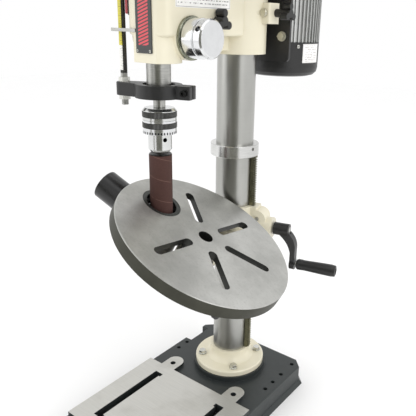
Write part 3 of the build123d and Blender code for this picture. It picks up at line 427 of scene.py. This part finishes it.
def sleeve_finish():
    """Chrome on the chuck's sleeve, with painted shade in the notches between the crests of its key teeth.
    """
    made = Finish("chuck_sleeve_chrome", metallic=1.0, rounding=0.2)
    teeth = 36
    step = 2 * math.pi / teeth
    turn = made.around(axes(spindle_axis, X, Z))
    place = made.calc("FLOORED_MODULO", made.calc("ADD", turn, step / 2), step)
    valley = made.band(place, step * 0.27, step * 0.73, step * 0.04)
    level = made.band(made.along(Z), sleeve_low + 0.1 * MM, sleeve_low + 4.2 * MM)
    # painted shade: the notches between the key teeth's crests are coloured near black
    gaps = made.calc("MULTIPLY", valley, level)
    chrome, wiped = polish(made, tint(214, 215, 216), tint(234, 235, 236))
    return made.done(made.mix(gaps, chrome, tint(26, 26, 26)), made.blend(wiped, 0.12, 0.24))


def chuck_finish():
    """Chrome on the chuck's body, with painted shade inside its key holes."""
    made = Finish("chuck_body_chrome", metallic=1.0, rounding=0.4)
    bottom, top = key_hole_level - key_hole_radius, key_hole_level + key_hole_radius
    outside = made.smooth(made.off_axis(Z, spindle_axis), 19.1 * MM, 19.3 * MM)
    inside = made.calc("SUBTRACT", 1.0, outside)
    # painted shade: the insides of the key holes are coloured near black
    hole_painted_shade = made.calc("MULTIPLY", made.band(made.along(Z), bottom, top), inside)
    chrome, wiped = polish(made, tint(206, 207, 206), tint(228, 229, 228))
    return made.done(made.mix(hole_painted_shade, chrome, tint(14, 14, 14)), made.blend(wiped, 0.14, 0.26))


def rod_finish():
    """The depth rod: blackened above and bright on the threaded end that the nuts clamp."""
    made = Finish("depth_rod_two_tone", metallic=0.9, rounding=0.3)
    thread_top = rod_low + 50 * MM
    above = made.smooth(made.along(Z), thread_top, thread_top + 1 * MM)
    lines = made.noise(420, 4, (0.4, 0.4, 2.0))
    bright = made.mix(lines, tint(150, 150, 146), tint(200, 200, 196))
    dark = made.mix(lines, tint(48, 48, 46), tint(78, 78, 75))
    made.bump(lines, 0.12, 0.05 * MM)
    return made.done(made.mix(above, bright, dark), made.blend(lines, 0.3, 0.44))


def fastener_finish():
    """Bright nuts on the depth rod and a blackened clamp screw."""
    made = Finish("collar_fastener_steel", metallic=0.9, rounding=0.3)
    nut_reach = 20 * MM
    screw = made.smooth(made.off_axis(Z, rod_axis), nut_reach, nut_reach + 1 * MM)
    lines = made.noise(420, 4)
    bright = made.mix(lines, tint(188, 188, 182), tint(220, 220, 214))
    black = made.mix(lines, tint(30, 30, 30), tint(48, 48, 47))
    made.bump(lines, 0.1, 0.04 * MM)
    return made.done(made.mix(screw, bright, black), made.blend(lines, 0.26, 0.4))


def mount_finish():
    """A black plate with bright slide bars and bolts."""
    made = Finish("motor_mount_black_and_bright", rounding=0.4)
    near, far = mount_plate_near - 0.04 * MM, mount_plate_far + 0.05 * MM
    bright = made.calc("SUBTRACT", 1.0, made.band(made.along(Y), near, far, 0.02 * MM))
    lines = made.noise(420, 4, (1.0, 0.2, 1.0))
    metal = made.mix(lines, tint(196, 193, 178), tint(232, 230, 218))
    paint = made.mix(made.noise(20, 3), tint(28, 28, 28), tint(40, 40, 40))
    made.bump(made.noise(420, 2), 0.1, 0.1 * MM)
    made.feed(made.shader.inputs["Metallic"], bright)
    return made.done(made.mix(bright, paint, metal), made.blend(lines, 0.28, 0.42))


def arbor_finish():
    """The bright arbor and nut of the drum, with painted shade on the washer above the drum."""
    made = Finish("drum_arbor_steel", metallic=0.95, rounding=0.3)
    level = made.band(made.along(Z), drum_top - 0.2 * MM, drum_top + 1.6 * MM, 0.05 * MM)
    outside = made.smooth(made.off_axis(Z, spindle_axis), 5.2 * MM, 5.6 * MM)
    # painted shade: the washer above the drum, under the chuck's nose, is coloured near black
    washer = made.calc("MULTIPLY", level, outside)
    lines = made.noise(420, 4, (0.2, 0.2, 3.0))
    metal = made.mix(lines, tint(150, 150, 146), tint(196, 196, 192))
    dark = made.mix(made.noise(200, 3), tint(34, 33, 31), tint(52, 50, 47))
    made.bump(lines, 0.1, 0.04 * MM)
    return made.done(made.mix(washer, metal, dark), made.blend(lines, 0.3, 0.42))


def aluminium_finish():
    """Cast aluminium with fine dark pits."""
    made = Finish("cast_aluminium", metallic=0.9, rounding=0.35)
    cast = made.noise(900, 3)
    made.bump(cast, 0.14, 0.08 * MM)
    body = made.mix(made.noise(24, 4), tint(172, 173, 171), tint(202, 203, 201))
    pits = made.calc("MULTIPLY", made.smooth(cast, 0.55, 0.75), 0.3)
    colour = made.mix(pits, body, tint(120, 120, 116))
    return made.done(colour, made.blend(made.noise(100), 0.34, 0.5))


def knurl_finish():
    """Black oxide, rubbed bright on the crests of the teeth."""
    made = Finish("knurl_black_oxide", metallic=0.9, rounding=0.1)
    radius = made.off_axis(Z, spindle_axis)
    crest = made.smooth(radius, chuck_radius + 0.25 * MM, chuck_radius + 0.55 * MM)
    oxide = made.mix(made.noise(300, 3), tint(22, 22, 22), tint(44, 44, 43))
    made.bump(made.noise(1500, 2), 0.2, 0.05 * MM)
    colour = made.mix(crest, oxide, tint(150, 150, 148))
    return made.done(colour, made.blend(made.noise(200), 0.35, 0.5))


cream_enamel = enamel(
    "cream_enamel", tint(226, 219, 194), tint(233, 227, 205), tint(240, 236, 222),
    coat=0.35, roughness=0.38,
)
black_enamel = enamel(
    "black_enamel", tint(24, 24, 24), tint(33, 33, 33), tint(70, 70, 68),
    coat=0.1, roughness=0.44, peel=0.16,
)
plain_steel = ground_steel("ground_steel", tint(158, 158, 154), tint(196, 196, 192), 0.3, (0.15, 0.15, 3.0))
oiled_steel = ground_steel("oiled_steel", tint(64, 64, 62), tint(98, 98, 95), 0.38, (0.4, 0.4, 2.0))
zinc = ground_steel("olive_zinc_plate", tint(118, 120, 104), tint(156, 158, 142), 0.26, (1.0, 0.3, 0.3))
bright_steel = ground_steel(
    "bright_plated_steel", tint(188, 188, 182), tint(220, 220, 214), 0.24, (1, 1, 1)
)
rack_steel = ground_steel("oily_rack_steel", tint(96, 95, 78), tint(150, 148, 124), 0.34, (0.4, 0.4, 2.4))
ring_steel = ground_steel(
    "bright_turned_ring", tint(186, 186, 184), tint(222, 222, 220), 0.22, (0.1, 0.1, 4.0)
)
insert_steel = ground_steel("insert_turned", tint(66, 69, 67), tint(94, 96, 94), 0.42, (0.6, 0.6, 2.0))
black_plastic = moulded("black_moulding", tint(24, 24, 24), tint(36, 36, 35), 0.40)
red_plastic = moulded("red_moulding", tint(170, 22, 34), tint(196, 38, 48), 0.28, grain=600)
green_plastic = moulded("green_moulding", tint(26, 116, 58), tint(44, 140, 74), 0.3, grain=600)
gloss_plastic = moulded("gloss_black_tube", tint(20, 20, 20), tint(30, 30, 30), 0.22, grain=700)
belt_rubber = moulded("belt_rubber", tint(26, 26, 26), tint(40, 40, 39), 0.6, grain=1600, rounding=0.2)
drum_rubber = moulded("drum_rubber", tint(44, 42, 40), tint(60, 58, 55), 0.62, grain=1200)
black_knurl = knurl_finish()

NODE_FINISHES = (
    (base_finish(), ["base_casting"]),
    (cream_enamel, ["column_flange", "bracket_casting", "head_casting", "spring_cap", "table_arm"]),
    (table_finish(), ["table_top"]),
    (black_enamel, ["depth_collar", "motor_caps", "guard_pan", "guard_lid", "crank_arm"]),
    (plain_steel, [
        "set_screws", "quill", "spindle", "depth_pointer", "pinion_shaft", "lift_gear", "worm_shaft",
        "crank_pin", "idler_pivot", "quill_bearings", "hinge_pins", "motor_rotor",
    ]),
    (oiled_steel, ["return_spring"]),
    (zinc, ["hub_ring"]),
    (bright_steel, ["flange_bolts", "tilt_bolt", "chuck_jaw_1", "chuck_jaw_2", "chuck_jaw_3"]),
    (rack_steel, ["column_rack"]),
    (ring_steel, ["rack_ring"]),
    (insert_steel, ["table_insert"]),
    (chrome_finish(), ["feed_hub"]),
    (sleeve_finish(), ["chuck_sleeve"]),
    (chuck_finish(), ["chuck_body"]),
    (column_finish(), ["column_tube"]),
    (rod_finish(), ["depth_rod"]),
    (fastener_finish(), ["collar_fasteners"]),
    (mount_finish(), ["motor_mount"]),
    (arbor_finish(), ["drum_arbor"]),
    (black_plastic, [
        "crank_grip", "bracket_clamp_lever", "table_lock", "dust_chamber", "switch_box",
        "side_lock_knob", "tension_knob",
    ]),
    (gloss_plastic, ["dust_port"]),
    (red_plastic, ["stop_paddle"]),
    (green_plastic, ["on_button"]),
    (panel_finish(), ["front_panel"]),
    (aluminium_finish(), ["spindle_pulley", "idler_pulley", "motor_pulley", "motor_case"]),
    (belt_rubber, ["drive_belts"]),
    (drum_rubber, ["drum_core"]),
    (abrasive_finish(), ["abrasive_sleeve"]),
)
for finish, names in NODE_FINISHES:
    for name in names:
        for slot in nodes[name].material_slots:
            slot.material = finish


# ---- mesh pieces ----------------------------------------------------------------------
def add_object(name, data):
    """A new object of the scene."""
    made = bpy.data.objects.new(name, data)
    bpy.context.scene.collection.objects.link(made)
    return made


def add_mesh(name, mesh, finish):
    """A new object of a bmesh, which is used up."""
    data = bpy.data.meshes.new(name)
    mesh.to_mesh(data)
    mesh.free()
    data.materials.append(finish)
    return add_object(name, data)


def piece(name, body, finish, mesh, crisp=35, soften=None):
    """Makes an object of a bmesh whose places are in the row frame, and lets it ride."""
    bmesh.ops.recalc_face_normals(mesh, faces=mesh.faces)
    made = add_mesh(name, mesh, finish)
    if soften:
        rounding = made.modifiers.new("rounded edges", "BEVEL")
        rounding.width = soften * MM
        rounding.segments = 3
        rounding.limit_method = "ANGLE"
    made.data.shade_smooth()
    made.data.set_sharp_from_angle(angle=math.radians(crisp))
    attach(made, body)
    return made


def row(mesh, placed, spots):
    """Vertices at places in millimetres in a frame."""
    return [mesh.verts.new(placed @ (spot * MM)) for spot in spots]


def wall(mesh, first, second):
    """Faces between two closed rows. A row of one vertex repeated is a point."""
    for step in range(len(first)):
        after = (step + 1) % len(first)
        corners = (first[step], first[after], second[after], second[step])
        mesh.faces.new(list(dict.fromkeys(corners)))


def lathe(mesh, placed, outline, steps=64):
    """A closed turned body from (radius, height) points in millimetres, on the frame's z axis."""
    turns = [2 * math.pi * step / steps for step in range(steps)]
    rings = []
    for radius, height in outline:
        if radius == 0:
            rings.append(row(mesh, placed, [Z * height]) * steps)
        else:
            rings.append(row(mesh, placed, [polar(radius, turn, height) for turn in turns]))
    for inner, outer in zip(rings, rings[1:]):
        wall(mesh, inner, outer)
    return rings


def prism(mesh, placed, outline, bottom, top):
    """A straight prism of an outline in millimetres, along the frame's z axis."""
    lower = row(mesh, placed, [Vector((x, y, bottom)) for x, y in outline])
    upper = row(mesh, placed, [Vector((x, y, top)) for x, y in outline])
    mesh.faces.new(lower)
    mesh.faces.new(upper)
    wall(mesh, lower, upper)


def rounded_rectangle(width, height, corner, steps=6):
    """Outline points of a rectangle with round corners, about its middle."""
    points = []
    for quarter, (side_x, side_y) in enumerate(((1, 1), (-1, 1), (-1, -1), (1, -1))):
        for step in range(steps + 1):
            offset = polar(corner, math.radians(90 * quarter + 90 * step / steps))
            x = side_x * (width / 2 - corner) + offset.x
            y = side_y * (height / 2 - corner) + offset.y
            points.append((x, y))
    return points


def plate(name, body, slot, finish, placed, width, height, thickness, corner=1.5, soften=0.15):
    """A thin rectangular plate with round corners, standing on the frame's xy plane."""
    mesh = bmesh.new()
    prism(mesh, placed, rounded_rectangle(width, height, corner), 0, thickness)
    return piece(name, body, finish, mesh, soften=soften)


def cross_screw(name, body, placed, radius, rise):
    """A pan-head screw with a cross recess, standing on the frame's xy plane."""
    mesh = bmesh.new()
    half_slot = 0.16 * radius
    reach = 0.56 * radius
    edge = rise * 0.45  # height of the head's straight edge, and of the recess's floor
    outline = [(0, 0), (radius, 0)]
    for degrees in range(0, 80, 15):
        turn = math.radians(degrees)
        outline.append((radius * math.cos(turn), edge + (rise - edge) * math.sin(turn)))
    outline.append((reach * 1.06, rise))
    crown = lathe(mesh, placed, outline, steps=32)[-1]
    cross = []
    for quarter in range(4):
        turn = Matrix.Rotation(math.radians(90 * quarter), 3, "Z")
        for x, y in ((reach, -half_slot), (reach, half_slot), (half_slot, half_slot)):
            cross.append(turn @ Vector((x, y, 0)))
    upper = row(mesh, placed, [spot + Z * rise for spot in cross])
    lower = row(mesh, placed, [spot * 0.85 + Z * edge for spot in cross])
    wall(mesh, upper, lower)
    mesh.faces.new(lower)
    borders = []
    for loop in (crown, upper):
        borders += [mesh.edges.get(pair) for pair in zip(loop, loop[1:] + loop[:1])]
    bmesh.ops.triangle_fill(mesh, edges=borders, use_beauty=True)
    return piece(name, body, bright_steel, mesh, crisp=50)


def knurled_band(name, body, radius, bottom, top, count=84):
    """A proud ring of small straight teeth round the chuck."""
    mesh = bmesh.new()
    placed = axes(spindle_axis, X, Z)
    chamfer, tooth, root, sunk = 0.7, 0.55, 0.02, 0.4
    turns = [math.pi * step / count for step in range(2 * count)]
    rings = []
    for height, rise in ((bottom, 0), (bottom + chamfer, tooth), (top - chamfer, tooth), (top, 0)):
        reaches = (radius + root, radius + rise)
        spots = [polar(reaches[step % 2], turn, height) for step, turn in enumerate(turns)]
        rings.append(row(mesh, placed, spots))
    for height in (top, bottom):
        rings.append(row(mesh, placed, [polar(radius - sunk, turn, height) for turn in turns]))
    for first, second in zip(rings, rings[1:] + rings[:1]):
        wall(mesh, first, second)
    return piece(name, body, black_knurl, mesh, crisp=20)


def arc_strip(name, body, finish, placed, radius, start, end, bottom, top, thickness=0.5, steps=24):
    """A thin strip bent round the frame's z axis between two turns in degrees."""
    mesh = bmesh.new()
    outer, inner = [], []
    for step in range(steps + 1):
        turn = math.radians(start + (end - start) * step / steps)
        outer.append(polar(radius + thickness, turn).xy)
        inner.append(polar(radius, turn).xy)
    prism(mesh, placed, outer + inner[::-1], bottom, top)
    return piece(name, body, finish, mesh)


# ---- what the drill press carries on its surfaces ---------------------------------------
head_side = 42 * MM
label_size = (131, 50)
label_place = axes(Vector((head_side, -144.5 * MM, 813 * MM)), Y, X)
label_print = printed_label(
    "side_label_print", label_place, 5.2 * MM, tint(236, 235, 230), tint(70, 70, 74), label_size
)
plate("side_label", "stand", "panel", label_print, label_place, *label_size, thickness=0.4)

scale_place = axes(Vector((rod_axis.x, -226.7 * MM, 762 * MM)), X, -Y)
scale_print = scale_finish("depth_scale_print", scale_place, 2.5 * MM, split=-32 * MM)
plate("depth_scale", "quill_group", "panel", scale_print, scale_place, 7, 140, 0.5, corner=0.4, soften=0.1)

tilt_place = axes(Z * pivot("table_tilt").z, axis("crank_turn"), table_radial)
tilt_print = scale_finish("tilt_scale_print", axes(pivot("table_tilt"), table_radial, Z), 3 * MM)
arc_strip("tilt_scale", "carriage", tilt_print, tilt_place, 34.0, -160, -95, 56, 64)

chamber_flange = Vector((-84, 4, -18.1))  # the chamber's middle in the table's frame
for turn in (60, 180, 300):
    seat = (chamber_flange + polar(47.5, math.radians(turn))) * MM
    cross_screw(f"chamber_screw_{turn}", "table", TABLE @ axes(seat, X, -Z), radius=3.4, rise=2.4)

for side, x in (("left", panel_low.x + 3.3 * MM), ("right", panel_high.x - 3.3 * MM)):
    for end, z in (("low", panel_low.z + 3.5 * MM), ("high", panel_high.z - 3.5 * MM)):
        placed = axes(Vector((x, panel_low.y, z)), X, -Y)
        cross_screw(f"panel_screw_{end}_{side}", "stand", placed, radius=2.1, rise=1.1)


def on_motor(degrees, height):
    """A frame on the motor's round side, at a turn about its axis: z out, y up."""
    out = polar(1, math.radians(degrees))
    return axes(motor_axis + out * motor_radius + Z * height * MM, Z.cross(out), out)


plate_start, plate_end = -25, 12
plate_low, plate_high = 696, 732
motor_print = printed_label(
    "motor_label_print", on_motor((plate_start + plate_end) / 2, (plate_low + plate_high) / 2), 3.2 * MM,
    tint(240, 240, 238), tint(120, 100, 104), (47, plate_high - plate_low), border=0.4 * MM,
)
arc_strip(
    "motor_label", "motor", motor_print, axes(motor_axis, X, Z), motor_radius / MM + 0.02,
    plate_start, plate_end, plate_low, plate_high, thickness=0.35,
)
cross_screw("motor_cap_screw", "motor", on_motor(-33.5, 727), radius=3.6, rise=2.2)

knurled_band("chuck_knurl_upper", "spindle_group", chuck_radius / MM, 622.5, 632)
knurled_band("chuck_knurl_lower", "sleeve", chuck_radius / MM, 605.5, 614.5)

knob_outline = (
    (0, -0.2), (7, -0.2), (7, 1.5), (5, 3), (4.6, 9), (7.5, 12),
    (10.5, 15), (11.5, 19), (10.8, 22.5), (8, 24.6), (4, 25.4), (0, 25.5),
)
knob_mesh = bmesh.new()
lathe(knob_mesh, axes(Vector((high("guard_lid").x, -60 * MM, 905 * MM)), Y, X), knob_outline)
piece("lid_knob", "lid", black_plastic, knob_mesh)


# ---- stage, light and camera ---------------------------------------------------------------
paper = Finish("studio_paper", rounding=0.1)
paper_shade = paper.mix(paper.noise(3, 3), tint(253, 253, 253), tint(255, 255, 255))
floor_mesh = bmesh.new()
bmesh.ops.create_grid(floor_mesh, x_segments=8, y_segments=8, size=6)
add_mesh("floor", floor_mesh, paper.done(paper_shade, 0.9))


def soft_box(name, place, aim, width, height, power):
    """A rectangular lamp that looks at a point."""
    data = bpy.data.lights.new(name, "AREA")
    data.shape = "RECTANGLE"
    data.size = width
    data.size_y = height
    data.energy = power
    lamp = add_object(name, data)
    lamp.location = place
    lamp.rotation_mode = "QUATERNION"
    lamp.rotation_quaternion = (aim - Vector(place)).to_track_quat("-Z", "Y")


middle = Vector((0, -0.15, 0.5))
soft_box("key_right", (2.1, -0.9, 1.7), middle, 1.1, 1.9, 12)
soft_box("fill_left", (-1.7, -1.7, 1.3), middle, 0.8, 1.8, 5)
soft_box("overhead", (0.3, -0.2, 2.6), middle, 2.4, 2.4, 7)

world = bpy.data.worlds.new("studio")
bpy.context.scene.world = world
world.use_nodes = True
backdrop = world.node_tree.nodes["Background"]
backdrop.inputs["Color"].default_value = (1, 1, 1, 1)
backdrop.inputs["Strength"].default_value = 1.0


def black_flag(name, start, end, distance, top=1.5, steps=12):
    """A dark curved card, between two turns in degrees, that only shows in polished metal."""
    turns = [math.radians(start + (end - start) * step / steps) for step in range(steps + 1)]
    mesh = bmesh.new()
    lower, upper = (
        [mesh.verts.new((distance * math.sin(turn), -distance * math.cos(turn), height)) for turn in turns]
        for height in (0.02, top)
    )
    for step in range(steps):
        mesh.faces.new((lower[step], lower[step + 1], upper[step + 1], upper[step]))
    card = add_mesh(name, mesh, flag_cloth)
    card.visible_camera = False
    card.visible_diffuse = False
    card.visible_shadow = False


flag = Finish("flag_cloth", rounding=0.1)
flag_cloth = flag.done(flag.mix(flag.noise(40, 3), tint(108, 108, 99), tint(130, 130, 120)), 0.9)
black_flag("flag_front", 6, 54, 1.05)
black_flag("flag_left", -17, -9, 1.3)

azimuth, pitch, roll = math.radians(36.02), math.radians(19.03), math.radians(1.63)
level = Vector((math.cos(azimuth), math.sin(azimuth), 0))
forward = Z.cross(level) * math.cos(pitch) - Z * math.sin(pitch)
above = level.cross(forward)
camera_right = level * math.cos(roll) + above * math.sin(roll)
camera_data = bpy.data.cameras.new("camera")
camera_data.sensor_width = 36
camera_data.lens = 45.52
camera_data.shift_x = -0.0736
camera_data.shift_y = -0.0124
camera_data.clip_start = 0.05
camera_data.clip_end = 40
camera = add_object("camera", camera_data)
camera.matrix_world = axes(Vector((603.91, -812.12, 770.5)) * MM, camera_right, -forward)
bpy.context.scene.camera = camera
bpy.context.scene.view_settings.view_transform = "Standard"
